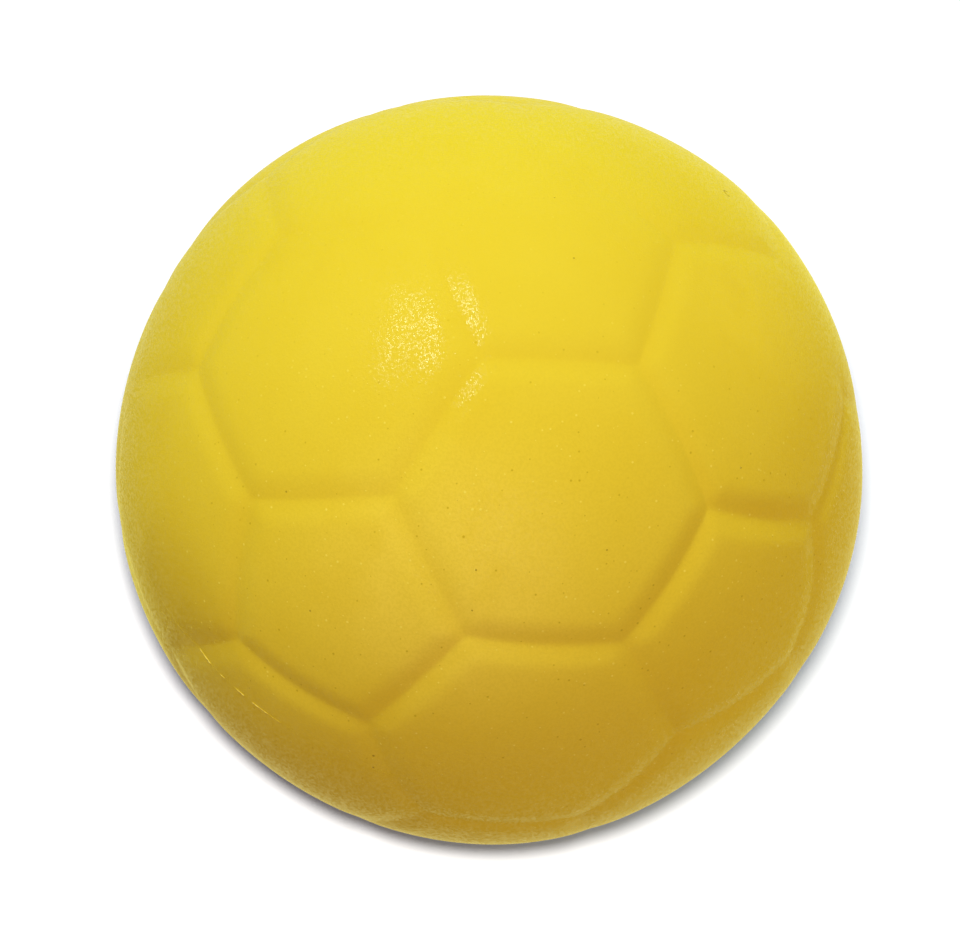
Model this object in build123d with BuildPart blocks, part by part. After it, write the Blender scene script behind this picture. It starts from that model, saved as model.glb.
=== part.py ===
from build123d import *
import os
from math import asin, atan, atan2, cos, degrees, radians, sin, sqrt, tan

# Solid foam dodgeball with a moulded pattern of pentagons and hexagons, in millimetres.
# The origin is the centre of the ball and the XY plane is the parting plane of the mould.
# +Z runs through the middle of the pentagon at the top of the upper mould half.
# The side of that pentagon which faces -Y has the front hexagon below it.

# Ball and skin
BALL_DIAMETER = 178.0  # over the panels
SKIN_UNDER_SEAM = 1.5  # dense skin left under the bottom of a seam valley

# Seam valleys between the panels
SEAM_DEPTH = 0.85  # bottom of the valley below the ball surface
SEAM_WIDTH = 15.0  # from shoulder to shoulder, straight across
VALLEY_RADIUS = 8.0  # hollow rounding along the bottom of the valley
SHOULDER_BREAK = 2.5  # degrees between shoulder and panel where they meet
CORNER_HOLLOW = 0.15  # extra depth of the hollow where three valleys meet

# Parting line
WEB_THICKNESS = 0.3  # weld between the two skins
FLASH_HEIGHT = 0.15  # trimmed flash left standing proud of the skin

# Working allowances that leave no mark on the finished pieces
CUTTER_CLEARANCE = 2.0  # how far a valley cutter reaches outside the ball
CORNER_OVERRUN = 0.5  # degrees that a valley cutter runs on into the corner hollow

ball_radius = BALL_DIAMETER / 2
core_radius = ball_radius - SEAM_DEPTH - SKIN_UNDER_SEAM
hollow_middle_radius = ball_radius - SEAM_DEPTH - CORNER_HOLLOW + VALLEY_RADIUS

# Pattern of regular pentagons and hexagons with equal sides, five of them round the pole.
# Lengths in this block are in panel sides, angles are seen from the centre of the ball.
PENTAGON_SIDES = 5
HEXAGON_SIDES = 6
POLE_TURNS = 5
FRONT_AZIMUTH = -90
corner_distance = sqrt(58 + 18 * sqrt(5)) / 4
half_side_angle = degrees(asin(1 / (2 * corner_distance)))
turn_step = 360 / POLE_TURNS
half_step = turn_step / 2


def corner_angle(sides):
    """Angle in degrees from the middle of a panel to one of its corners."""
    middle_to_corner = 1 / (2 * sin(radians(180 / sides)))
    return degrees(asin(middle_to_corner / corner_distance))


def side_angle(sides):
    """Angle in degrees from the middle of a panel to the middle of one of its sides."""
    middle_to_side = 1 / (2 * tan(radians(180 / sides)))
    middle_distance = corner_distance * cos(radians(corner_angle(sides)))
    return degrees(atan(middle_to_side / middle_distance))


def panel_at(polar, azimuth):
    """Place of a panel: z out through its middle, x along the meridian away from +Z."""
    return Rot(Z=azimuth) * Rot(Y=polar)


def seam_of(panel, sides, side):
    """Place of a seam: z out through its middle, y along it, x square to its plane.

    Side 0 of a panel is the one across its x direction, and the others follow round z.
    """
    return panel * Rot(Z=side * 360 / sides) * Rot(Y=side_angle(sides))


def hollow_of(panel, sides, corner):
    """Place of the middle of the rounding in the hollow at a corner of a panel."""
    turned = panel * Rot(Z=(corner + 1 / 2) * 360 / sides)
    return turned * Rot(Y=corner_angle(sides)) * Pos(Z=hollow_middle_radius)


def section_plane(seam, turn):
    """Plane square across a seam, turned along it from its middle by an angle in degrees."""
    return Plane(seam * Rot(X=turn) * Plane.XZ.location)


def valley_section(plane, surface_radius):
    """Section of a seam valley: x across the seam, y outwards from the ball centre."""
    edge_x = SEAM_WIDTH / 2
    edge_y = sqrt(surface_radius**2 - edge_x**2)
    floor_y = surface_radius - SEAM_DEPTH
    top_y = surface_radius + CUTTER_CLEARANCE

    # The shoulder leaves the ball surface at the break angle, measured from the surface.
    edge_slope = radians(SHOULDER_BREAK) - atan2(edge_x, edge_y)
    inward = Vector(sin(edge_slope), -cos(edge_slope))

    # The shoulder is the arc with that slope at the edge which is tangent to the valley floor.
    floor_middle = Vector(0, floor_y + VALLEY_RADIUS)
    to_edge = Vector(edge_x, edge_y) - floor_middle
    reach_left = VALLEY_RADIUS - to_edge.dot(inward)
    shoulder_radius = (to_edge.length**2 - VALLEY_RADIUS**2) / (2 * reach_left)
    shoulder_middle = Vector(edge_x, edge_y) + inward * shoulder_radius
    join = floor_middle + (shoulder_middle - floor_middle).normalized() * VALLEY_RADIUS

    with BuildSketch(plane) as section:
        with BuildLine():
            RadiusArc((-edge_x, edge_y), (-join.X, join.Y), shoulder_radius)
            ThreePointArc((-join.X, join.Y), (0, floor_y), (join.X, join.Y))
            RadiusArc((join.X, join.Y), (edge_x, edge_y), shoulder_radius)
            Polyline(
                (edge_x, edge_y),
                (edge_x, top_y),
                (-edge_x, top_y),
                (-edge_x, edge_y),
            )
        make_face()
    return section.sketch


# Panels of the upper mould half, ring by ring, by the angle from +Z to their middles
pentagon_ring = degrees(atan(2))
first_hexagon_ring = side_angle(PENTAGON_SIDES) + side_angle(HEXAGON_SIDES)
second_hexagon_ring = first_hexagon_ring + 2 * side_angle(HEXAGON_SIDES)

pentagons = [panel_at(0, FRONT_AZIMUTH)]
panel_seams = []
equator_seams = []
for turn in range(POLE_TURNS):
    azimuth = FRONT_AZIMUTH + turn * turn_step
    pentagons.append(panel_at(pentagon_ring, azimuth + half_step))
    first_hexagon = panel_at(first_hexagon_ring, azimuth)
    second_hexagon = panel_at(second_hexagon_ring, azimuth)
    panel_seams.append(seam_of(first_hexagon, HEXAGON_SIDES, 0))
    panel_seams.append(seam_of(first_hexagon, HEXAGON_SIDES, 2))
    equator_seams.append(seam_of(second_hexagon, HEXAGON_SIDES, 1))
    equator_seams.append(seam_of(second_hexagon, HEXAGON_SIDES, 5))

corner_hollows = []
for pentagon in pentagons:
    for side in range(PENTAGON_SIDES):
        panel_seams.append(seam_of(pentagon, PENTAGON_SIDES, side))
        corner_hollows.append(hollow_of(pentagon, PENTAGON_SIDES, side))

# Upper skin: half a ball with the hollows and valleys cut in it, then emptied for the core.
# The poles of its sphere lie in the parting plane, so that no panel has one.
cutter_start = -half_side_angle - CORNER_OVERRUN
cutter_arc = 2 * (half_side_angle + CORNER_OVERRUN)

with BuildPart() as upper_skin:
    Sphere(ball_radius, rotation=(0, 90, 0))
    split(bisect_by=Plane.XY.offset(WEB_THICKNESS / 2), keep=Keep.TOP)
    with Locations(*corner_hollows):
        Sphere(VALLEY_RADIUS, mode=Mode.SUBTRACT)
    for seam in equator_seams + panel_seams:
        across = section_plane(seam, cutter_start)
        revolve(
            valley_section(across, ball_radius),
            axis=Axis(across.origin, across.x_dir),
            revolution_arc=cutter_arc,
            mode=Mode.SUBTRACT,
        )
    Sphere(core_radius, rotation=(0, 90, 0), mode=Mode.SUBTRACT)

# Lower skin: the same shape turned over about a line through the middle of an equator seam
turn_over_azimuth = FRONT_AZIMUTH + half_step / 2
turned_over = Rot(Z=turn_over_azimuth) * Rot(X=180) * Rot(Z=-turn_over_azimuth)

with BuildPart() as lower_skin:
    with Locations(turned_over):
        add(upper_skin.part)

# Parting flash: the web between the skins, its rim following the valleys that it crosses
with BuildPart() as parting_flash:
    Cylinder(ball_radius + FLASH_HEIGHT, WEB_THICKNESS)
    Sphere(core_radius, mode=Mode.SUBTRACT)
    for seam in equator_seams:
        across = section_plane(seam, cutter_start)
        revolve(
            valley_section(across, ball_radius + FLASH_HEIGHT),
            axis=Axis(across.origin, across.x_dir),
            revolution_arc=cutter_arc,
            mode=Mode.SUBTRACT,
        )

# Foam core
with BuildPart() as foam_core:
    Sphere(core_radius)

os.makedirs("parts", exist_ok=True)

upper_skin.part.label = "upper_skin"
export_step(upper_skin.part, "parts/upper_skin.step")

lower_skin.part.label = "lower_skin"
export_step(lower_skin.part, "parts/lower_skin.step")

parting_flash.part.label = "parting_flash"
export_step(parting_flash.part, "parts/parting_flash.step")

foam_core.part.label = "foam_core"
export_step(foam_core.part, "parts/foam_core.step")
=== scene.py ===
"""Moulded foam dodgeball with pentagon and hexagon panels, dressed for a plain white studio."""

import logging
from dataclasses import dataclass
from enum import Enum
from math import atan, cos, pi, radians, sin
from typing import NamedTuple

import bpy
import numpy as np
from mathutils import Matrix, Vector


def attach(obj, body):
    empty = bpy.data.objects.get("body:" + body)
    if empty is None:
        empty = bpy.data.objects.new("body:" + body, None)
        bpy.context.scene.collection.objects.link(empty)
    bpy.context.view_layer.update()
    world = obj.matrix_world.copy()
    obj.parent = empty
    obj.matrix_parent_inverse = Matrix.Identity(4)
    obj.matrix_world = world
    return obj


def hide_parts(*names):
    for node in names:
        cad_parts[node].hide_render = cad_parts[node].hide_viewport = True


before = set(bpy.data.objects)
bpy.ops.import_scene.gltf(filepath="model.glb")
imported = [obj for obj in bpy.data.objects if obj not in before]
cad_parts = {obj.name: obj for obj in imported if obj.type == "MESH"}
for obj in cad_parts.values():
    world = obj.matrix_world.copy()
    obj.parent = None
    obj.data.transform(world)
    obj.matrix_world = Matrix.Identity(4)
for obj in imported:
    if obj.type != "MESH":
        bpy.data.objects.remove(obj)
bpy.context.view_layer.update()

LOG = logging.getLogger("dodgeball")
MM = 0.001
BODY = "root"
BALL_RADIUS = 89.0 * MM
CORE_RADIUS = 86.65 * MM
WEB_HALF = 0.15 * MM  # half the weld between the two skins
VALLEY = "valley"  # point attribute: 1 at the bottom of a seam valley, 0 on a panel
RAISED = "raised"  # point attribute: 1 on top of a ridge of flash, 0 where it is trimmed flush
NO_TRIANGLES = np.zeros((0, 3), dtype=int)

Array = np.ndarray
Socket = bpy.types.NodeSocket
Object = bpy.types.Object
Material = bpy.types.Material
Color = tuple[float, float, float]
Direction = tuple[float, float, float]


class Half(Enum):
    """Mould half that a skin was formed in, by the sign of its z."""

    UPPER = 1
    LOWER = -1


class Slot(Enum):
    """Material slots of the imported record."""

    SKIN = "skin"
    FLASH = "flash"
    FOAM = "foam"


def unit(vectors: Array) -> Array:
    """Vectors divided by their own lengths."""
    return vectors / np.linalg.norm(vectors, axis=-1, keepdims=True)


def smooth_step(values: Array) -> Array:
    """Values held to 0..1 and eased at both ends: 3 t squared less 2 t cubed."""
    held = np.clip(values, 0.0, 1.0)
    return held * held * (3.0 - 2.0 * held)


@dataclass(frozen=True)
class PanelPattern:
    """Seams between twelve pentagons and twenty hexagons, as great circle arcs on a unit ball."""

    front_azimuth: float = radians(-90.0)
    turns: int = 5
    apart: tuple[float, float] = (0.3, 0.9)  # holds the cosine between neighbouring axes

    def pentagon_axes(self) -> Array:
        """Middles of the pentagons: both poles, and two rings of five at atan(2) from them.

        Returns:
            Twelve unit vectors.
        """
        turn = 2.0 * pi / self.turns
        ring = atan(2.0)
        lower = self.front_azimuth + turn * np.arange(self.turns)
        upper = lower + turn / 2.0
        azimuth = np.concatenate([[0.0], upper, lower, [0.0]])
        polar = np.repeat([0.0, ring, pi - ring, pi], [1, self.turns, self.turns, 1])
        flat = np.sin(polar)
        return np.stack([flat * np.cos(azimuth), flat * np.sin(azimuth), np.cos(polar)], axis=-1)

    def seam_ends(self) -> tuple[Array, Array]:
        """Both ends of the ninety seams.

        A corner of the pattern lies a third of the way from one pentagon axis to a
        neighbouring one. Thirty seams join the two corners between neighbours, and sixty
        join two corners round the same pentagon.

        Returns:
            Unit vectors of the starts and of the ends.
        """
        axes = self.pentagon_axes()
        closeness = axes @ axes.T
        near = (closeness > self.apart[0]) & (closeness < self.apart[1])
        one, two = np.nonzero(np.triu(near))
        triples = near[:, :, None] & near[:, None, :] & near[None, :, :]
        own, left, right = np.nonzero(triples)
        kept = left < right
        own, left, right = own[kept], left[kept], right[kept]
        starts = np.concatenate([2.0 * axes[one] + axes[two], 2.0 * axes[own] + axes[left]])
        ends = np.concatenate([axes[one] + 2.0 * axes[two], 2.0 * axes[own] + axes[right]])
        return unit(starts), unit(ends)


@dataclass(frozen=True)
class Spot:
    """Place on the ball."""

    azimuth: float  # degrees round +Z from +X
    elevation: float  # degrees above the XY plane

    def middle(self) -> Direction:
        """Unit vector from the middle of the ball to the place."""
        turn, tilt = radians(self.azimuth), radians(self.elevation)
        return cos(turn) * cos(tilt), sin(turn) * cos(tilt), sin(tilt)


@dataclass(frozen=True)
class Bell(Spot):
    """Broad rise or fall of some amount round a place."""

    amount: float
    spread: float  # degrees from the middle to where the bell is steepest

    def over(self, points: Array) -> Array:
        """Amount at unit vectors: a bell over the angle from the middle."""
        angle = np.arccos(np.clip(points @ np.array(self.middle()), -1.0, 1.0))
        return self.amount * np.exp(-0.5 * (angle / radians(self.spread)) ** 2)


@dataclass(frozen=True)
class Drift:
    """Part of the ball where the seams run a little to one side of the even pattern."""

    shift: Bell  # metres
    heading: float  # degrees from up along the meridian, turning towards more azimuth

    def over(self, points: Array) -> Array:
        """How far the seams have moved: the bell, along one direction in space.

        That direction lies flat on the ball at the middle of the bell.

        Args:
            points: unit vectors.

        Returns:
            Steps in metres, one row to a point.
        """
        turn, tilt = radians(self.shift.azimuth), radians(self.shift.elevation)
        heading = radians(self.heading)
        north = np.array([-cos(turn) * sin(tilt), -sin(turn) * sin(tilt), cos(tilt)])
        east = np.array([-sin(turn), cos(turn), 0.0])
        way = north * cos(heading) + east * sin(heading)
        return self.shift.over(points)[:, None] * way


@dataclass(frozen=True)
class SkinRelief:
    """Outer surface of the skin: a ball with soft valleys along the seams of the pattern."""

    ball_radius: float = BALL_RADIUS
    wall_slope: float = 0.145  # rise over run of the valley walls
    wall_reach: float = 3.0 * MM  # from the bottom of a valley to where its wall bends over
    seam_reach: float = 6.6 * MM  # from the bottom of a valley to where the panel is full
    floor_rounding: float = 0.4 * MM
    corner_blend: float = 6.0
    gather_share: float = 0.5  # how close grid lines are drawn together at a seam
    wave_height: float = 0.05 * MM
    wave_counts: tuple[float, ...] = (11.0, 15.0, 19.0, 26.0)
    lumps: tuple[Bell, ...] = (  # swellings and dents, in metres
        Bell(0.3, 17.5, -0.29 * MM, 7.0), Bell(41.7, 34.9, 0.56 * MM, 14.0),
        Bell(77.2, 38.3, -0.55 * MM, 19.0), Bell(135.0, 21.9, 0.33 * MM, 10.0),
        Bell(156.5, 8.8, -0.48 * MM, 15.0), Bell(-132.7, -26.9, -0.31 * MM, 11.0),
        Bell(-83.7, -26.8, 0.81 * MM, 13.0), Bell(-42.2, -9.9, -0.78 * MM, 14.0),
    )
    deepenings: tuple[Bell, ...] = (  # seams deeper or filled, as a share of their depth
        Bell(147.6, 58.7, -0.70, 20.0), Bell(18.4, 57.7, -0.35, 8.0),
        Bell(-37.5, 39.5, 0.75, 13.0), Bell(-67.2, 39.9, 0.40, 9.0),
        Bell(-92.8, 32.2, 0.42, 9.0), Bell(-108.1, 1.9, -0.50, 8.0),
        Bell(-70.6, 20.8, -0.40, 6.0), Bell(-72.9, 2.5, 0.35, 8.0),
        Bell(-55.5, 12.3, 0.30, 8.0), Bell(-90.6, -7.8, 0.15, 8.0), Bell(2.7, 18.9, -0.80, 6.0),
        Bell(37.0, 33.7, -0.65, 6.0), Bell(-174.3, -10.2, -0.45, 6.0),
        Bell(-111.1, -29.4, -0.65, 6.0), Bell(-71.4, -23.4, -0.65, 6.0),
        Bell(-32.8, -4.1, -0.75, 6.0), Bell(-126.0, 10.1, 0.45, 9.0),
        Bell(-109.3, 20.5, 0.38, 8.0), Bell(-41.5, 39.4, 0.45, 7.0),
        Bell(172.0, 12.0, -0.80, 6.0), Bell(-151.5, -8.9, -0.60, 5.0),
        Bell(-160.3, -5.2, -0.70, 5.0), Bell(179.0, 6.3, -0.60, 4.0),
        Bell(2.0, 37.9, -0.85, 6.0), Bell(10.5, 41.1, -0.85, 6.0),
        Bell(-37.3, 20.5, -0.45, 6.0), Bell(80.0, 70.0, -0.60, 13.0),
    )
    drifts: tuple[Drift, ...] = (
        Drift(Bell(-66.4, 39.3, 1.0 * MM, 8.0), 137.0),
        Drift(Bell(-41.5, 39.4, 1.2 * MM, 8.0), -137.0),
        Drift(Bell(-90.0, 31.7, 0.7 * MM, 8.0), 180.0),
        Drift(Bell(-72.0, 0.0, 1.7 * MM, 8.0), 122.0),
        Drift(Bell(-90.0, -10.1, 0.7 * MM, 8.0), 180.0),
        Drift(Bell(-54.0, 10.1, 2.0 * MM, 8.0), 180.0),
        Drift(Bell(-37.3, 20.5, 2.5 * MM, 8.0), 115.0),
        Drift(Bell(-138.4, 39.3, 0.5 * MM, 8.0), 137.0),
        Drift(Bell(-126.0, 10.1, 0.8 * MM, 8.0), 180.0),
    )
    pattern: PanelPattern = PanelPattern()

    @property
    def seam_depth(self) -> float:
        """Depth at the bottom: the slope times the middle of the two reaches."""
        return self.wall_slope * (self.wall_reach + self.seam_reach) / 2.0

    def valley_depth(self, distance: Array) -> Array:
        """Depth of one valley.

        The walls are straight as far as the wall reach. From there to the seam reach the
        depth falls with the square of what is left, which rounds the shoulders. The
        distance is taken along a hyperbola, which rounds the valley floor.

        Args:
            distance: how far points lie from the seam, in metres.

        Returns:
            Depths in metres.
        """
        rounded = np.hypot(distance, self.floor_rounding) - self.floor_rounding
        left = np.clip(self.seam_reach - rounded, 0.0, None)
        shoulder = self.wall_slope * left**2 / (2.0 * (self.seam_reach - self.wall_reach))
        wall = self.seam_depth - self.wall_slope * rounded
        return np.where(rounded < self.wall_reach, wall, shoulder)

    def seam_fields(self, points: Array) -> tuple[Array, Array, Array]:
        """Depth below the panels, distance to the nearest seam and the way towards it.

        Each seam gives the distance to its great circle, or to its nearer end where the
        point lies past an end. The valleys join as the root of the sum of their powers.
        The points are first taken back by the drift of the seams.

        Args:
            points: unit vectors.

        Returns:
            Depths, distances along the surface, and unit steps towards the nearest seam.
        """
        moved = sum(drift.over(points) for drift in self.drifts)
        points = unit(points - moved / self.ball_radius)
        starts, ends = self.pattern.seam_ends()
        squares = unit(np.cross(starts, ends))
        total = np.zeros(len(points))
        nearest = np.full(len(points), np.inf)
        towards = np.zeros_like(points)
        for start, end, square in zip(starts, ends, squares):
            across = np.arcsin(np.clip(points @ square, -1.0, 1.0))
            past_start = points @ np.cross(square, start) > 0.0
            inside = past_start & (points @ np.cross(square, end) < 0.0)
            to_end = np.arccos(np.clip(np.maximum(points @ start, points @ end), -1.0, 1.0))
            distance = self.ball_radius * np.where(inside, np.abs(across), to_end)
            total += (self.valley_depth(distance) / self.seam_depth) ** self.corner_blend
            closer = inside & (distance < nearest)
            nearest[closer] = distance[closer]
            towards[closer] = -np.sign(across[closer])[:, None] * square
        return self.seam_depth * total ** (1.0 / self.corner_blend), nearest, towards

    def gathered(self, points: Array, held: Array) -> Array:
        """Grid points drawn along the surface towards the seams, where the shape is sharpest.

        With t the share of the reach, each point moves in by t (1 - t) squared of the reach,
        times one less the gather share, so the spacing at a seam falls to that share.

        Args:
            points: unit vectors of an even grid.
            held: 0 where a point has to stay, as at the rim, up to 1 where it is free.

        Returns:
            Unit vectors of the drawn grid.
        """
        _, nearest, towards = self.seam_fields(points)
        share = np.clip(nearest / self.seam_reach, 0.0, 1.0)
        pull = (1.0 - self.gather_share) * share * (1.0 - share) ** 2
        step = pull * held * self.seam_reach / self.ball_radius
        return unit(points + step[:, None] * towards)

    def waves(self, points: Array) -> Array:
        """Slight unevenness of moulded foam: products of sines over the ball.

        Args:
            points: unit vectors.

        Returns:
            Values from -1 to 1.
        """
        x, y, z = points.T
        total = np.zeros(len(points))
        for turn, count in enumerate(self.wave_counts):
            total += np.sin(count * x + turn) * np.sin(count * y + 2.0 * turn) * np.cos(count * z)
        return total / len(self.wave_counts)

    def surface(self, points: Array) -> tuple[Array, Array]:
        """Points of the skin and how deep in a valley each lies.

        The radius is the ball's, less the valley depth, less the waves, which only go inwards,
        plus the lumps that leave the ball slightly out of round. The valleys are deeper in
        some parts of the ball than in others.

        Args:
            points: unit vectors.

        Returns:
            Places in metres, and depths as a share of the seam depth.
        """
        depth, _, _ = self.seam_fields(points)
        waves = 0.5 * self.wave_height * (1.0 + self.waves(points))
        deepened = 1.0 + sum(bell.over(points) for bell in self.deepenings)
        depth = depth * np.clip(deepened, 0.0, None)
        radius = self.ball_radius - depth - waves + sum(bell.over(points) for bell in self.lumps)
        return points * radius[:, None], depth / self.seam_depth


@dataclass(frozen=True)
class DomeGrid:
    """Square grid of steps by steps quads, laid over half a ball with even areas."""

    steps: int
    rim_height: float = 0.0  # height of the rim above the middle, as a share of the radius

    def directions(self) -> Array:
        """Points of the grid, row by row.

        The square is turned into a disc ring by ring: the larger coordinate is the distance
        from the middle and the other one, as a share of it, is an eighth of a turn. Height is
        one less the distance squared, which keeps areas even.

        Returns:
            Unit vectors.
        """
        line = np.linspace(-1.0, 1.0, self.steps + 1)
        u, v = (axis.ravel() for axis in np.meshgrid(line, line, indexing="ij"))
        wide = np.abs(u) > np.abs(v)
        reach = np.where(wide, u, v)
        other = np.where(wide, v, u)
        share = np.divide(other, reach, out=np.zeros_like(reach), where=reach != 0.0)
        angle = np.where(wide, pi / 4.0 * share, pi / 2.0 - pi / 4.0 * share)
        height = 1.0 - (1.0 - self.rim_height) * reach**2
        flat = np.sqrt(1.0 - height**2) * np.sign(reach)
        return np.stack([flat * np.cos(angle), flat * np.sin(angle), height], axis=-1)

    def index(self) -> Array:
        """Indices of the points, as rows and columns of the square."""
        return np.arange((self.steps + 1) ** 2).reshape(self.steps + 1, self.steps + 1)

    def quads(self) -> Array:
        """Corner indices of the quads, turning left as seen from outside the upper half."""
        i = self.index()
        return np.stack([i[:-1, :-1], i[1:, :-1], i[1:, 1:], i[:-1, 1:]], axis=-1).reshape(-1, 4)

    def rim(self) -> Array:
        """Indices round the rim, turning left from an eighth of a turn before +X, evenly."""
        i = self.index()
        return np.concatenate([i[-1, :-1], i[:0:-1, -1], i[0, :0:-1], i[:-1, 0]])


def add_object(name: str, data: bpy.types.ID) -> Object:
    """Puts a new object into the scene, at the origin.

    Args:
        name: name of the object.
        data: its mesh, lamp or camera.

    Returns:
        The object.
    """
    added = bpy.data.objects.new(name, data)
    bpy.context.scene.collection.objects.link(added)
    return added


def make_piece(name: str, points: Array, quads: Array, triangles: Array = NO_TRIANGLES) -> Object:
    """Mesh object at the origin with smooth faces.

    Args:
        name: name of the object and of its mesh.
        points: places in metres, one row each.
        quads: corner indices, four to a row.
        triangles: corner indices, three to a row.

    Returns:
        The object, linked into the scene.
    """
    mesh = bpy.data.meshes.new(name)
    mesh.from_pydata(points, [], quads.tolist() + triangles.tolist(), shade_flat=False)
    return add_object(name, mesh)


def set_point_share(piece: Object, name: str, values: Array) -> None:
    """Stores one named number per point for the piece's material to read."""
    attribute = piece.data.attributes.new(name, "FLOAT", "POINT")
    attribute.data.foreach_set("value", values.astype(np.float32))


def crease(piece: Object, ring_points: Array) -> None:
    """Makes the edges between the given points sharp, so that shading breaks along them.

    Args:
        piece: mesh object.
        ring_points: indices of the points of one or more rings.
    """
    mesh = piece.data
    ends = np.zeros(2 * len(mesh.edges), dtype=np.int32)
    mesh.edges.foreach_get("vertices", ends)
    on_ring = np.zeros(len(mesh.vertices), dtype=bool)
    on_ring[ring_points] = True
    sharp = on_ring[ends.reshape(-1, 2)].all(axis=1)
    attribute = mesh.attributes.new("sharp_edge", "BOOLEAN", "EDGE")
    attribute.data.foreach_set("value", sharp)


def dress(piece: Object, material: Material, node: str) -> None:
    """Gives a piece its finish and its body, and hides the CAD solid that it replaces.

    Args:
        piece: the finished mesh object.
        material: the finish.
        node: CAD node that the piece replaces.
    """
    mesh = piece.data
    mesh.materials.append(material)
    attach(piece, BODY)
    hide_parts(node)
    LOG.info("%s: %d points, %d faces", piece.name, len(mesh.vertices), len(mesh.polygons))


class Span(NamedTuple):
    """Part of a range of values that is read, and what its two ends become."""

    low: float
    high: float
    to_low: float = 0.0
    to_high: float = 1.0


@dataclass(frozen=True)
class Blotches:
    """Soft random variation from 0 to 1 over a surface."""

    size: float  # of the largest blotches
    detail: float  # how many finer layers lie over them
    rough: float = 0.5  # how strong each layer is next to the one before


@dataclass(frozen=True)
class Dots:
    """Small round dots scattered over a surface."""

    spacing: float  # about how far apart dots may be
    radius: float  # of the largest dots
    share: float  # of the possible places that have a dot
    edge: Span = Span(0.55, 1.0, 1.0, 0.0)  # how a dot fades out, over shares of its radius
    smallest: float = 1e-4  # radius that every dot has at least, as a share of the spacing


class NodeBoard:
    """Short way to lay out the shader nodes of one material, lamp or world."""

    def __init__(self, tree: bpy.types.NodeTree) -> None:
        """Takes a node tree and empties it."""
        self.tree = tree
        tree.nodes.clear()

    def feed(self, socket: Socket, value: object) -> None:
        """Links a socket to another socket, or sets it to a plain value.

        Args:
            socket: input socket.
            value: output socket, number, or sequence of numbers.
        """
        if isinstance(value, Socket):
            self.tree.links.new(value, socket)
        elif isinstance(value, tuple) and socket.type == "RGBA":
            socket.default_value = (*value, 1.0)
        else:
            socket.default_value = value

    def add(
        self, kind: str, settings: dict[str, str] | None = None, *values: object, **inputs: object
    ) -> bpy.types.Node:
        """Adds a node.

        Args:
            kind: node type without its ShaderNode prefix.
            settings: properties of the node.
            values: values or sockets for the first inputs, in their order.
            inputs: values or sockets by input name, with _ for a space.

        Returns:
            The node.
        """
        node = self.tree.nodes.new("ShaderNode" + kind)
        for name, value in (settings or {}).items():
            setattr(node, name, value)
        for socket, value in zip(node.inputs, values):
            self.feed(socket, value)
        for name, value in inputs.items():
            self.feed(node.inputs[name.replace("_", " ")], value)
        return node

    def math(self, operation: str, *values: object) -> Socket:
        """Result of one operation on up to three numbers."""
        return self.add("Math", {"operation": operation}, *values).outputs[0]

    def vectors(self, operation: str, output: str, *values: object) -> Socket:
        """Named result of one operation on up to three vectors."""
        return self.add("VectorMath", {"operation": operation}, *values).outputs[output]

    def spread(self, value: object, span: Span) -> Socket:
        """Value carried smoothly from the span that is read to what its ends become."""
        smooth = {"interpolation_type": "SMOOTHSTEP"}
        return self.add("MapRange", smooth, value, *span).outputs[0]

    def times(self, first: object, second: object) -> Socket:
        """Product of two numbers."""
        return self.math("MULTIPLY", first, second)

    def blend(self, share: object, first: object, second: object) -> Socket:
        """Colour that goes from one to another.

        Args:
            share: 0 for the first colour, 1 for the second.
            first: colour or socket.
            second: colour or socket.

        Returns:
            The colour socket.
        """
        node = self.add("Mix", {"data_type": "RGBA"}, share)
        colors = [socket for socket in node.inputs if socket.type == "RGBA"]
        self.feed(colors[0], first)
        self.feed(colors[1], second)
        return next(socket for socket in node.outputs if socket.type == "RGBA")

    def noise(self, place: object, kind: Blotches) -> Socket:
        """Random variation over the surface, from 0 to 1."""
        layers = {"Detail": kind.detail, "Roughness": kind.rough}
        return self.add("TexNoise", Vector=place, Scale=1.0 / kind.size, **layers).outputs["Fac"]

    def dots(self, place: object, kind: Dots) -> Socket:
        """Scattered dots, 1 in a dot and 0 outside.

        Each cell of the surface has two random numbers. One says whether it has a dot and
        the other how large the dot is.

        Args:
            place: coordinates in metres.
            kind: spacing, size and number of the dots.

        Returns:
            The result socket.
        """
        cells = self.add("TexVoronoi", Vector=place, Scale=1.0 / kind.spacing)
        parts = self.add("SeparateColor", Color=cells.outputs["Color"])
        grown = self.times(parts.outputs[1], kind.radius / kind.spacing)
        size = self.math("ADD", grown, kind.smallest)
        dot = self.spread(self.math("DIVIDE", cells.outputs["Distance"], size), kind.edge)
        return self.times(dot, self.math("LESS_THAN", parts.outputs[0], kind.share))

    def bump(self, height: object, distance: float, under: Socket | None = None) -> Socket:
        """Normal of a surface raised by height times distance.

        Args:
            height: number or socket from 0 to 1.
            distance: metres that a height of 1 rises.
            under: normal of an earlier bump that this one lies over.

        Returns:
            The normal socket.
        """
        node = self.add("Bump", Strength=1.0, Distance=distance, Height=height)
        if under is not None:
            self.feed(node.inputs["Normal"], under)
        return node.outputs["Normal"]


@dataclass(frozen=True)
class Finish:
    """Material of one kind of piece."""

    name: str

    def surface(self, board: NodeBoard) -> Socket:
        """Lays out the finish on an empty board and returns its surface."""
        raise NotImplementedError

    def build(self) -> Material:
        """Makes the material.

        Returns:
            The material.
        """
        material = bpy.data.materials.new(self.name)
        material.use_nodes = True
        board = NodeBoard(material.node_tree)
        board.add("OutputMaterial", Surface=self.surface(board))
        return material


@dataclass(frozen=True)
class Mark(Spot):
    """Small moulding fault: a pit, or a ring where a bubble burst, open towards +X."""

    radius: float
    ring: float = 0.0  # width of the ring, 0 for a pit


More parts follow.
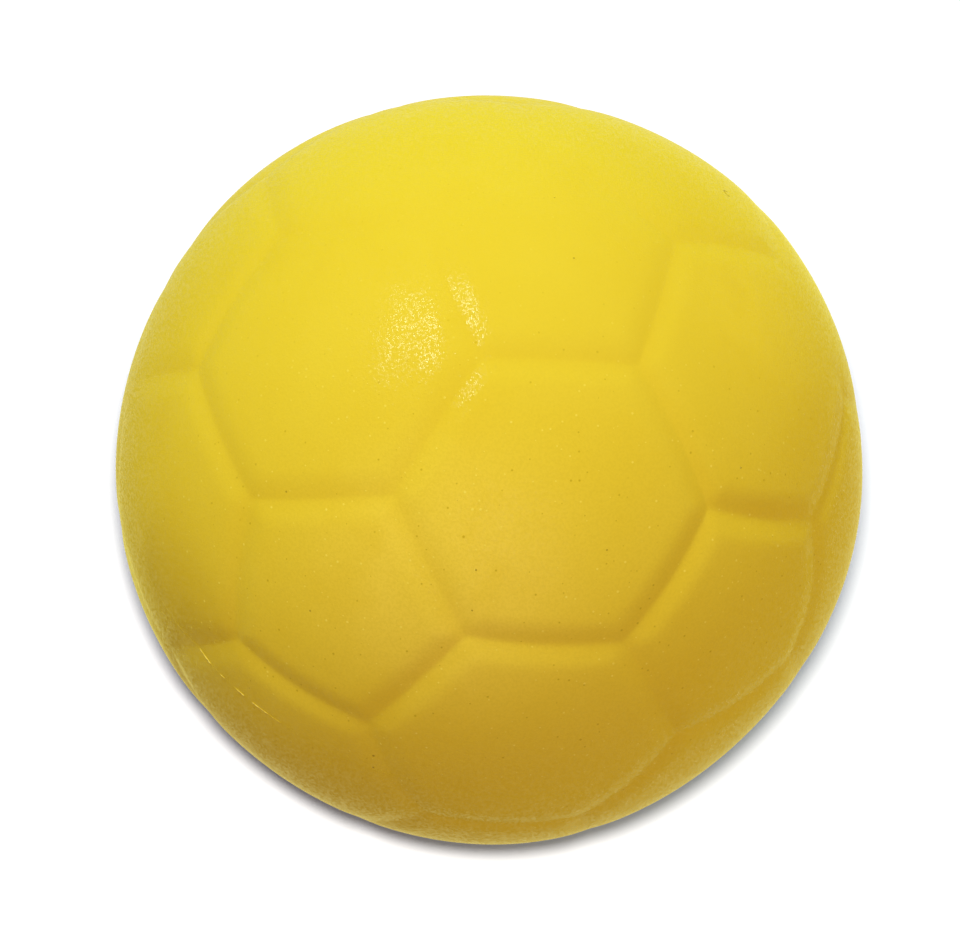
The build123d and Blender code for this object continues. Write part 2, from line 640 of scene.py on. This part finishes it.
@dataclass(frozen=True)
class PaintedLight(Spot):
    """Area of the skin painted paler or darker, as painted light or painted shade on it."""

    full: float  # degrees from the middle to where the tone begins to fade
    gone: float  # degrees from the middle to where nothing is left of it
    tone: Color


@dataclass(frozen=True)
class SkinFinish(Finish):
    """Satin yellow skin with a fine moulded grain, pinholes, pale flecks and dark specks."""

    name: str = "skin_yellow"
    ball_radius: float = BALL_RADIUS
    yellow: Color = (0.82, 0.556, 0.026)
    pale: Color = (0.835, 0.575, 0.031)
    deep: Color = (0.80, 0.528, 0.022)
    # painted shade: darker colour laid into the seam valleys
    valley_shade: Color = (0.79, 0.515, 0.020)
    pinhole_tone: Color = (0.40, 0.22, 0.008)
    speck_tone: Color = (0.62, 0.38, 0.008)
    fleck_tone: Color = (0.93, 0.70, 0.075)
    grain_tone: Color = (0.70, 0.455, 0.016)

    patches: Blotches = Blotches(24.0 * MM, 3.0)  # in which colour and grain vary
    grain: Blotches = Blotches(0.62 * MM, 2.0)
    glints: Blotches = Blotches(0.68 * MM, 1.0)  # spots that shine
    peel: Blotches = Blotches(3.4 * MM, 2.0)
    pebbles: Dots = Dots(0.55 * MM, 0.27 * MM, 0.65)
    pinholes: Dots = Dots(9.0 * MM, 0.36 * MM, 0.20)
    specks: Dots = Dots(1.9 * MM, 0.38 * MM, 0.42)
    flecks: Dots = Dots(1.6 * MM, 0.38 * MM, 0.48)
    peel_height: float = 0.04 * MM
    grain_height: float = 0.034 * MM
    pebble_height: float = 0.012 * MM
    fleck_height: float = 0.02 * MM
    pinhole_depth: float = 0.06 * MM

    front: Span = Span(0.01, -0.06)  # over y: 0 on the back of the ball, 1 on the front
    handled: Span = Span(0.0, 1.0, 0.22, 0.92)  # share of flecks and specks, over the front
    pale_share: Span = Span(0.40, 0.66, 0.0, 0.5)  # over the patches
    deep_share: Span = Span(0.44, 0.30, 0.0, 0.4)  # over the patches
    valley_shade_share: Span = Span(0.2, 1.0, 0.0, 0.25)  # painted shade, over the depth in a valley
    grain_share: Span = Span(0.62, 0.34, 0.0, 0.24)  # over the grain
    pinhole_share: float = 0.75
    uneven: Span = Span(0.35, 0.65, 0.8, 1.2)  # height of the grain, over the patches
    roughness: Span = Span(0.3, 0.7, 0.12, 0.18)  # over the grain
    reflectance: Span = Span(0.47, 0.60, 0.003, 0.105)  # over the glints
    bloom: float = 0.35  # share of the soft glow that matt foam has at grazing angles
    bloom_roughness: float = 0.4
    bloom_tone: Color = (0.88, 0.72, 0.06)

    mark_floor: float = 0.4  # share of a mark's reach in which it is deepest
    ring_opening: float = 0.3  # share of a ring's radius, along +X, at which it opens
    marks: tuple[Mark, ...] = (
        Mark(-5.95, 87.5, 0.30 * MM), Mark(-143.96, 36.3, 0.34 * MM),
        Mark(-103.69, 35.27, 0.30 * MM), Mark(-128.92, 24.21, 0.34 * MM),
        Mark(-42.69, 48.46, 0.30 * MM), Mark(-79.2, 45.69, 0.30 * MM),
        Mark(-111.76, 3.27, 0.45 * MM), Mark(-111.28, 0.42, 0.40 * MM),
        Mark(36.98, 48.67, 1.0 * MM, 0.32 * MM),
    )
    # painted light and shade: paler or darker patches of the skin colour
    painted_lights: tuple[PaintedLight, ...] = (
        # painted highlight: a paler patch low on the side the camera sees, in place of a soft haze
        # of gloss
        PaintedLight(-109.4, 38.3, 6.0, 28.0, (0.89, 0.61, 0.044)),
        # painted light: a paler patch high on the right of the side the camera sees
        PaintedLight(-3.0, 56.4, 2.0, 18.0, (0.875, 0.60, 0.030)),
        # painted shade: a darker patch at the lower left edge of the side the camera sees
        PaintedLight(-149.6, -2.7, 4.0, 24.0, (0.66, 0.42, 0.018)),
    )

    def with_painted_light(self, board: NodeBoard, way: Socket) -> Socket:
        """Even colour of the skin with the painted light and shade on it.

        Args:
            board: node tree of the skin.
            way: unit vectors from the middle of the ball.

        Returns:
            The colour socket.
        """
        color: object = self.yellow
        for painted in self.painted_lights:
            away = board.vectors("DISTANCE", "Value", way, painted.middle())
            fade = Span(radians(painted.full), radians(painted.gone), 1.0, 0.0)
            color = board.blend(board.spread(away, fade), color, painted.tone)
        return color

    def marked(self, board: NodeBoard, way: Socket) -> Socket:
        """Depth of the moulding faults, from 0 on sound skin to 1.

        A pit falls off with the distance from its middle. A ring falls off with the distance
        from its line, and ends where it opens.

        Args:
            board: node tree of the skin.
            way: unit vectors from the middle of the ball.

        Returns:
            The result socket.
        """
        aside = board.add("SeparateXYZ", Vector=way).outputs["X"]
        total: object = 0.0
        for mark in self.marks:
            away = board.vectors("DISTANCE", "Value", way, mark.middle())
            radius = reach = mark.radius / self.ball_radius
            if mark.ring:
                away = board.math("ABSOLUTE", board.math("SUBTRACT", away, radius))
                reach = mark.ring / self.ball_radius
            depth = board.spread(away, Span(self.mark_floor * reach, reach, 1.0, 0.0))
            if mark.ring:
                opening = mark.middle()[0] + self.ring_opening * radius
                closed = Span(opening - reach / 2.0, opening + reach / 2.0, 1.0, 0.0)
                depth = board.times(depth, board.spread(aside, closed))
            total = board.math("MAXIMUM", total, depth)
        return total

    def surface(self, board: NodeBoard) -> Socket:
        """Lays out the finish: tones one over the other, then heights, then the gloss.

        Args:
            board: empty node tree of the material.

        Returns:
            The finished surface.
        """
        place = board.add("TexCoord").outputs["Object"]
        way = board.vectors("NORMALIZE", "Vector", place)
        valley = board.add("Attribute", {"attribute_name": VALLEY}).outputs["Fac"]
        forward = board.add("SeparateXYZ", Vector=place).outputs["Y"]
        front = board.spread(forward, self.front)
        handled = board.spread(front, self.handled)
        patches = board.noise(place, self.patches)
        grain = board.noise(place, self.grain)
        flecks = board.dots(place, self.flecks)
        specks = board.dots(place, self.specks)
        pinholes = board.dots(place, self.pinholes)
        pinholes = board.math("MAXIMUM", pinholes, self.marked(board, way))

        # even colour with the painted light and shade laid on it
        color = self.with_painted_light(board, way)
        for share, tone in (
            (board.spread(patches, self.pale_share), self.pale),
            (board.spread(patches, self.deep_share), self.deep),
            # painted shade, darker towards the bottom of a valley
            (board.spread(valley, self.valley_shade_share), self.valley_shade),
            (board.times(board.spread(grain, self.grain_share), front), self.grain_tone),
            (board.times(flecks, handled), self.fleck_tone),
            (board.times(specks, handled), self.speck_tone),
            (board.times(pinholes, self.pinhole_share), self.pinhole_tone),
        ):
            color = board.blend(share, color, tone)

        normal = None
        for height, distance in (
            (board.noise(place, self.peel), self.peel_height),
            (board.times(grain, board.spread(patches, self.uneven)), self.grain_height),
            (board.dots(place, self.pebbles), self.pebble_height),
            (flecks, self.fleck_height),
            (board.math("SUBTRACT", 1.0, pinholes), self.pinhole_depth),
        ):
            normal = board.bump(height, distance, normal)

        glints = board.noise(place, self.glints)
        shader = board.add(
            "BsdfPrincipled",
            Base_Color=color,
            Roughness=board.spread(grain, self.roughness),
            Normal=normal,
            Specular_IOR_Level=board.spread(glints, self.reflectance),
            Sheen_Weight=self.bloom,
            Sheen_Roughness=self.bloom_roughness,
            Sheen_Tint=self.bloom_tone,
        )
        return shader.outputs["BSDF"]


@dataclass(frozen=True)
class FlashFinish(Finish):
    """Trimmed flash: like the skin where it is flush, paler and drier on its ridges."""

    name: str = "flash_pale"
    flush: Color = (0.79, 0.545, 0.014)
    ridge: Color = (0.90, 0.70, 0.16)
    grain: Blotches = Blotches(0.6 * MM, 2.0, 0.6)
    grain_height: float = 0.03 * MM
    ridge_share: Span = Span(0.15, 0.7)  # over the height of a ridge
    flush_share: Span = Span(0.5, 0.3, 0.0, 0.3)  # over the grain
    roughness: float = 0.45
    reflectance: float = 0.06

    def surface(self, board: NodeBoard) -> Socket:
        """Lays out the finish.

        Args:
            board: empty node tree of the material.

        Returns:
            The finished surface.
        """
        place = board.add("TexCoord").outputs["Object"]
        raised = board.add("Attribute", {"attribute_name": RAISED}).outputs["Fac"]
        grain = board.noise(place, self.grain)
        color = board.blend(board.spread(raised, self.ridge_share), self.flush, self.ridge)
        color = board.blend(board.spread(grain, self.flush_share), color, self.flush)
        shader = board.add(
            "BsdfPrincipled",
            Base_Color=color,
            Roughness=self.roughness,
            Normal=board.bump(grain, self.grain_height),
            Specular_IOR_Level=self.reflectance,
        )
        return shader.outputs["BSDF"]


@dataclass(frozen=True)
class FoamFinish(Finish):
    """Open foam of the core, coloured through, with small round cells."""

    name: str = "foam_yellow"
    wall: Color = (0.82, 0.62, 0.10)
    cell: Color = (0.58, 0.38, 0.04)
    cell_size: float = 1.1 * MM
    cell_depth: float = 0.3 * MM
    tint: Blotches = Blotches(9.0 * MM, 3.0)
    wall_share: Span = Span(0.15, 0.6)  # over the distance from the middle of a cell
    tint_share: Span = Span(0.4, 0.7, 0.0, 0.3)
    roughness: float = 0.9

    def surface(self, board: NodeBoard) -> Socket:
        """Lays out the finish.

        Args:
            board: empty node tree of the material.

        Returns:
            The finished surface.
        """
        place = board.add("TexCoord").outputs["Object"]
        cells = board.add("TexVoronoi", Vector=place, Scale=1.0 / self.cell_size)
        wall = board.spread(cells.outputs["Distance"], self.wall_share)
        tint = board.spread(board.noise(place, self.tint), self.tint_share)
        color = board.blend(tint, board.blend(wall, self.cell, self.wall), self.cell)
        normal = board.bump(wall, self.cell_depth)
        shader = board.add("BsdfPrincipled", Base_Color=color, Normal=normal)
        board.feed(shader.inputs["Roughness"], self.roughness)
        return shader.outputs["BSDF"]


@dataclass(frozen=True)
class FloorFinish(Finish):
    """Matt white floor that lets a little light up through it."""

    name: str = "floor_white"
    tone: Color = (0.62, 0.69, 0.95)
    glow: Color = (0.005, 0.018, 0.062)

    def surface(self, board: NodeBoard) -> Socket:
        """Lays out the finish on an empty board and returns its surface."""
        parts = board.add("BsdfDiffuse", Color=self.tone), board.add("Emission", Color=self.glow)
        return board.add("AddShader", None, *(part.outputs[0] for part in parts)).outputs[0]


@dataclass(frozen=True)
class SkinHalf:
    """Dense skin of one mould half: a closed shell with the moulded relief outside."""

    half: Half
    relief: SkinRelief
    core_radius: float = CORE_RADIUS
    web_half: float = WEB_HALF
    outer_steps: int = 288
    inner_steps: int = 72
    rim_hold: float = 6.0 * MM  # grid lines are not drawn together this near the rim

    @property
    def node(self) -> str:
        """Name of the CAD node that the piece stands for."""
        return self.half.name.lower() + "_skin"

    def outer_points(self) -> tuple[Array, Array]:
        """Outer surface, with its rim level at the weld.

        Returns:
            Places in metres, and how deep in a valley each lies.
        """
        sign = self.half.value
        grid = DomeGrid(self.outer_steps, self.web_half / self.relief.ball_radius)
        turned = grid.directions() * (1.0, 1.0, sign)
        height = sign * turned[:, 2] * self.relief.ball_radius
        free = smooth_step((height - self.web_half) / self.rim_hold)
        places, share = self.relief.surface(self.relief.gathered(turned, free))
        places[grid.rim(), 2] = sign * self.web_half
        return places, share

    def inner_points(self) -> Array:
        """Places on the inner surface, where the foam core begins."""
        grid = DomeGrid(self.inner_steps, self.web_half / self.core_radius)
        return grid.directions() * (1.0, 1.0, self.half.value) * self.core_radius

    def rim_triangles(self, outer: Array, inner: Array) -> Array:
        """Flat rim from the outer ring to the inner ring, which has fewer points.

        Each inner step meets several outer steps. The first half of those fan out from its
        start, the others from its end, and one triangle fills the middle.

        Args:
            outer: indices of the outer ring.
            inner: indices of the inner ring.

        Returns:
            Corner indices, turning left as seen from below the upper half.
        """
        several = len(outer) // len(inner)
        first, after = inner, np.roll(inner, -1)
        fan = np.concatenate([outer, outer[:1]])
        base = several * np.arange(len(inner))
        middle = fan[base + several // 2]
        parts = [np.stack([first, after, middle], axis=-1)]
        for step in range(several):
            hub = first if step < several // 2 else after
            parts.append(np.stack([fan[base + step], hub, fan[base + step + 1]], axis=-1))
        return np.concatenate(parts)

    def build(self, material: Material) -> Object:
        """Makes the shell and dresses it.

        Args:
            material: finish of the skin.

        Returns:
            The piece.
        """
        outer, share = self.outer_points()
        inner = self.inner_points()
        outer_grid, inner_grid = DomeGrid(self.outer_steps), DomeGrid(self.inner_steps)
        inner_rim = inner_grid.rim() + len(outer)
        quads = np.concatenate([outer_grid.quads(), inner_grid.quads()[:, ::-1] + len(outer)])
        triangles = self.rim_triangles(outer_grid.rim(), inner_rim)
        if self.half is Half.LOWER:
            quads, triangles = quads[:, ::-1], triangles[:, ::-1]
        points = np.concatenate([outer, inner])
        piece = make_piece(self.node + "_moulded", points, quads, triangles)
        crease(piece, np.concatenate([outer_grid.rim(), inner_rim]))
        set_point_share(piece, VALLEY, np.concatenate([share, np.zeros(len(inner))]))
        dress(piece, material, self.node)
        return piece


@dataclass(frozen=True)
class PartingFlash:
    """Weld between the skins, flush with them but for broken ridges of flash left by trimming."""

    relief: SkinRelief
    core_radius: float = CORE_RADIUS
    web_half: float = WEB_HALF
    ridge_height: float = 0.26 * MM
    ridge_middle: float = radians(-136.0)  # azimuth of the stretch that was trimmed least
    ridge_spread: float = radians(9.0)
    ridge_ends: int = 4  # power that says how suddenly that stretch ends
    trace: float = 0.02  # share of the height that is left everywhere
    dash_count: int = 460  # random values round the ring
    dash_level: float = 0.46  # value from which a dash stands up
    dash_rise: float = 0.22  # how much more than that gives full height
    lump_count: int = 1150
    lump_low: float = 0.35  # share of the height between lumps
    steps: int = 2304
    seed: int = 7
    node: str = "parting_flash"
    profile: tuple[tuple[float, float], ...] = (  # shares of the half web and of the ridge
        (-1.0, 0.0), (-0.6, 0.55), (-0.2, 1.0), (0.2, 1.0), (0.6, 0.55), (1.0, 0.0),
    )

    def ring_noise(self, azimuth: Array, count: int, draw: np.random.Generator) -> Array:
        """Smooth random values round the ring: even draws joined by eased steps.

        Args:
            azimuth: angles in radians.
            count: how many draws there are round the ring.
            draw: source of the draws.

        Returns:
            Values from 0 to 1.
        """
        values = draw.random(count)
        place = azimuth / (2.0 * pi) * count
        before = np.floor(place).astype(int)
        ease = smooth_step(place - before)
        return values[before % count] * (1.0 - ease) + values[(before + 1) % count] * ease

    def ridge_shares(self, azimuth: Array) -> Array:
        """Height of the ridge round the ring.

        Short dashes with gaps, tallest on the stretch that was trimmed least and only
        traces elsewhere.

        Args:
            azimuth: angles in radians.

        Returns:
            Shares of the ridge height, from 0 to 1.
        """
        draw = np.random.default_rng(self.seed)
        away = np.angle(np.exp(1j * (azimuth - self.ridge_middle)))
        stretch = self.trace + np.exp(-((away / self.ridge_spread) ** self.ridge_ends))
        chance = self.ring_noise(azimuth, self.dash_count, draw)
        dashes = smooth_step((chance - self.dash_level) / self.dash_rise)
        lumps = self.ring_noise(azimuth, self.lump_count, draw)
        lumps = self.lump_low + (1.0 - self.lump_low) * lumps
        return np.clip(stretch, 0.0, 1.0) * dashes * lumps

    def build(self, material: Material) -> Object:
        """Makes the closed ring and dresses it.

        Args:
            material: finish of the flash.

        Returns:
            The piece.
        """
        azimuth = 2.0 * pi * np.arange(self.steps) / self.steps
        level = np.stack([np.cos(azimuth), np.sin(azimuth), np.zeros(self.steps)], axis=-1)
        skin, _ = self.relief.surface(level)
        skin_radius = np.linalg.norm(skin, axis=-1)
        share = self.ridge_shares(azimuth)
        rows, raised = [], []
        for height, rise in self.profile:
            radius = skin_radius + self.ridge_height * share * rise
            rows.append(level * radius[:, None] + (0.0, 0.0, height * self.web_half))
            raised.append(share * rise)
        for height in (1.0, -1.0):
            rows.append(level * self.core_radius + (0.0, 0.0, height * self.web_half))
            raised.append(np.zeros(self.steps))
        low = np.arange(len(rows) * self.steps).reshape(len(rows), self.steps)
        high = np.roll(low, -1, axis=0)
        corners = [low, np.roll(low, -1, axis=1), np.roll(high, -1, axis=1), high]
        quads = np.stack(corners, axis=-1).reshape(-1, 4)
        piece = make_piece(self.node + "_trimmed", np.concatenate(rows), quads)
        crease(piece, low[[0, -3, -2, -1]].ravel())  # both outer edges, then both inner ones
        set_point_share(piece, RAISED, np.concatenate(raised))
        dress(piece, material, self.node)
        return piece


@dataclass(frozen=True)
class FoamCore:
    """Solid foam inside the skin, its surface broken by cells."""

    radius: float = CORE_RADIUS
    cell_depth: float = 0.35 * MM
    cell_count: float = 75.0
    steps: int = 144
    fill: float = 1.0
    node: str = "foam_core"

    def cells(self, points: Array) -> Array:
        """Winding hollows: the sum of sine times cosine over the three axis pairs.

        Args:
            points: unit vectors.

        Returns:
            Depths from 0 to 1.
        """
        x, y, z = (self.cell_count * points).T
        winding = np.sin(x) * np.cos(y) + np.sin(y) * np.cos(z) + np.sin(z) * np.cos(x)
        return smooth_step(0.5 + 0.5 * winding)

    def build(self, material: Material) -> Object:
        """Makes the closed ball from two domes that share their rim, and dresses it.

        Args:
            material: finish of the foam.

        Returns:
            The piece.
        """
        grid = DomeGrid(self.steps)
        upper = grid.directions()
        kept = np.ones(len(upper), dtype=bool)
        kept[grid.rim()] = False
        lower_index = np.arange(len(upper))
        lower_index[kept] = len(upper) + np.arange(kept.sum())
        ways = np.concatenate([upper, upper[kept] * (1.0, 1.0, -1.0)])
        places = ways * (self.radius - self.cell_depth * self.cells(ways))[:, None]
        quads = np.concatenate([grid.quads(), lower_index[grid.quads()][:, ::-1]])
        piece = make_piece(self.node + "_cells", places, quads)
        dress(piece, material, self.node)
        return piece


@dataclass(frozen=True)
class Lamp:
    """Rectangular lamp that lights the ball alone and faces it."""

    name: str
    way: Direction  # towards the lamp, along right, up and back of the camera
    width: float
    height: float
    watts: float
    tint: Color
    glints: bool = False  # whether the skin's gloss shows it
    distance: float = 2.0


@dataclass(frozen=True)
class SoftLight:
    """Broad light on the surroundings, full along one direction and gone square to it."""

    way: Direction  # along right, up and back of the camera
    tint: Color


def standing(right: Vector, up: Vector, back: Vector, place: Vector) -> Matrix:
    """Matrix of a lamp or camera at a place, turned to its right, up and back."""
    turned = Matrix((right, up, back)).transposed().to_4x4()
    return Matrix.Translation(place) @ turned


def light_only(lamp: Object, receivers: list[Object]) -> None:
    """Lets a lamp light some objects and no others.

    Args:
        lamp: lamp object.
        receivers: objects that it lights.
    """
    lit = bpy.data.collections.new(lamp.name + "_lights")
    for receiver in receivers:
        lit.objects.link(receiver)
    lamp.light_linking.receiver_collection = lit


@dataclass(frozen=True)
class Studio:
    """White floor and surroundings, the lamps and the camera."""

    ball_radius: float = BALL_RADIUS
    image_width: int = 960
    view: Spot = Spot(-108.4645, 56.0876)  # where the camera stands
    roll: float = 17.73
    distance: float = 1.13726
    lens: float = 178.665
    sensor: float = 36.0
    nearest: float = 0.05
    furthest: float = 20.0
    middle_right: float = 9.2  # pixels that the ball stands right of the middle of the image
    middle_up: float = 2.6  # pixels that it stands above the middle
    backdrop: Color = (1.0, 1.0, 1.0)
    ambient: Color = (0.146, 0.150, 0.16)
    reflected: Color = (0.98, 0.90, 0.36)
    soft_lights: tuple[SoftLight, ...] = (
        SoftLight((-1.0, 0.8, -0.6), (0.15, 0.03, 0.08)),
        SoftLight((0.0, 1.0, -0.6), (0.32, 0.45, 0.33)),
        SoftLight((1.0, 0.42, -0.6), (0.60, 0.61, 0.38)),
        SoftLight((0.3, -1.0, 0.3), (0.15, 0.12, 0.14)),
    )
    reflected_lights: tuple[SoftLight, ...] = (
        SoftLight((-0.35, 1.0, 0.0), (0.0, 0.0, 0.40)),
    )
    floor_finish: FloorFinish = FloorFinish()
    floor_radius: float = 0.4
    floor_steps: int = 16
    floor_lamp_tint: Color = (1.0, 0.878, 0.615)  # evens out the floor tone where the lamp falls
    floor_lamp_up: float = 0.054  # metres that the floor lamp stands above the camera
    floor_lamp_right: float = -0.001
    floor_lamp_radius: float = 0.042
    floor_lamp_watts: float = 68.0
    lamps: tuple[Lamp, ...] = (
        Lamp("key_left", (-0.420, 0.621, 0.662), 0.10, 0.85, 11.8, (0.77, 1.0, 0.90), True),
        Lamp("key_right", (-0.264, 0.633, 0.728), 0.10, 0.85, 17.4, (0.77, 1.0, 0.90), True),
        Lamp("front_fill", (0.10, -0.35, 0.93), 1.0, 1.0, 17.4, (0.76, 0.57, 1.0)),
        Lamp("below_rim", (0.30, -0.61, -0.73), 0.8, 0.8, 29.5, (1.0, 0.90, 0.60)),
        Lamp("right_rim", (0.75, -0.10, -0.65), 0.8, 0.8, 16.6, (1.0, 0.73, 0.60)),
        Lamp("top_rim", (0.10, 0.75, -0.65), 0.8, 0.8, 9.3, (0.45, 1.0, 0.70)),
    )

    def camera_axes(self) -> tuple[Vector, Vector, Vector]:
        """Axes of the camera, rolled about its line of sight.

        Returns:
            Right, up and back.
        """
        back = Vector(self.view.middle())
        level_right = Vector((0.0, 0.0, 1.0)).cross(back).normalized()
        level_up = back.cross(level_right)
        turn = radians(self.roll)
        right = level_right * cos(turn) + level_up * sin(turn)
        return right, back.cross(right), back

    def turned(self, way: Direction) -> Vector:
        """Unit vector in the shared frame of a direction given in the axes of the camera."""
        right, up, back = self.camera_axes()
        return (right * way[0] + up * way[1] + back * way[2]).normalized()

    def place_camera(self) -> None:
        """Makes the camera at the photographed angle."""
        right, up, back = self.camera_axes()
        data = bpy.data.cameras.new("camera")
        data.lens = self.lens
        data.sensor_width = self.sensor
        data.shift_x = -self.middle_right / self.image_width
        data.shift_y = -self.middle_up / self.image_width
        data.clip_start, data.clip_end = self.nearest, self.furthest
        camera = add_object("camera", data)
        camera.matrix_world = standing(right, up, back, back * self.distance)
        bpy.context.scene.camera = camera

    def build_floor(self) -> Object:
        """Makes the white floor under the ball, a flat disc.

        Returns:
            The floor.
        """
        grid = DomeGrid(self.floor_steps)
        points = grid.directions() * self.floor_radius
        points[:, 2] = -self.ball_radius
        floor = make_piece("floor", points, grid.quads())
        floor.data.materials.append(self.floor_finish.build())
        floor.visible_diffuse = False
        floor.visible_glossy = False
        return floor

    def soft_light(self, board: NodeBoard, level: Color, lights: tuple[SoftLight, ...]) -> Socket:
        """Light of the surroundings: an even level and the soft lights added to it.

        Each soft light is its tint times the cosine between the ray and its direction.

        Args:
            board: node tree of the world.
            level: colour that is the same all round.
            lights: soft lights to add.

        Returns:
            The colour socket.
        """
        ray = board.add("TexCoord").outputs["Generated"]
        total: object = level
        for soft in lights:
            facing = board.vectors("DOT_PRODUCT", "Value", ray, tuple(self.turned(soft.way)))
            share = board.math("MAXIMUM", facing, 0.0)
            total = board.vectors("MULTIPLY_ADD", "Vector", share, soft.tint, total)
        return total

    def build_world(self) -> None:
        """White surroundings to the eye, a softer level as light and a warm one in reflections."""
        world = bpy.data.worlds.new("studio")
        world.use_nodes = True
        board = NodeBoard(world.node_tree)
        path = board.add("LightPath").outputs
        seen = board.math("MAXIMUM", path["Is Camera Ray"], path["Is Transmission Ray"])
        light = self.soft_light(board, self.ambient, self.soft_lights)
        mirrored = self.soft_light(board, self.reflected, self.reflected_lights)
        light = board.blend(path["Is Glossy Ray"], light, mirrored)
        color = board.blend(seen, light, self.backdrop)
        sky = board.add("Background", Color=color, Strength=1.0)
        board.add("OutputWorld", Surface=sky.outputs["Background"])
        bpy.context.scene.world = world

    def build_lamps(self, pieces: list[Object]) -> None:
        """Makes the rectangular lamps.

        Args:
            pieces: pieces of the ball, which they light.
        """
        _, up, _ = self.camera_axes()
        for made in self.lamps:
            data = bpy.data.lights.new(made.name, "AREA")
            data.shape = "RECTANGLE"
            data.size, data.size_y = made.width, made.height
            data.energy, data.color = made.watts, made.tint
            lamp = add_object(made.name, data)
            away = self.turned(made.way)
            upright = (up - away * up.dot(away)).normalized()
            place = away * made.distance
            lamp.matrix_world = standing(upright.cross(away), upright, away, place)
            lamp.visible_glossy = made.glints
            light_only(lamp, pieces)

    def build_floor_lamp(self, floor: Object) -> None:
        """Makes the floor's own lamp, just above the camera, as strong near as far.

        Args:
            floor: floor, which it lights.
        """
        right, up, back = self.camera_axes()
        data = bpy.data.lights.new("floor_lamp", "POINT")
        data.energy, data.color = self.floor_lamp_watts, self.floor_lamp_tint
        data.shadow_soft_size = self.floor_lamp_radius
        data.use_nodes = True
        board = NodeBoard(data.node_tree)
        fade = board.add("LightFalloff", Strength=1.0)
        glow = board.add("Emission", Strength=fade.outputs["Constant"])
        board.add("OutputLight", Surface=glow.outputs["Emission"])
        lamp = add_object("floor_lamp", data)
        aside = up * self.floor_lamp_up + right * self.floor_lamp_right
        lamp.location = back * self.distance + aside
        light_only(lamp, [floor])


def main() -> None:
    """Builds the ball from the outside in, then the studio round it."""
    logging.basicConfig(level=logging.INFO, format="%(name)s %(message)s")
    relief = SkinRelief()
    skin = SkinFinish().build()
    pieces = [SkinHalf(half, relief).build(skin) for half in Half]
    pieces.append(PartingFlash(relief).build(FlashFinish().build()))
    pieces.append(FoamCore().build(FoamFinish().build()))

    studio = Studio()
    floor = studio.build_floor()
    studio.build_world()
    studio.build_lamps(pieces)
    studio.build_floor_lamp(floor)
    studio.place_camera()
    bpy.context.scene.view_settings.view_transform = "Standard"
    LOG.info("ball and studio are built")


if __name__ == "__main__":
    main()
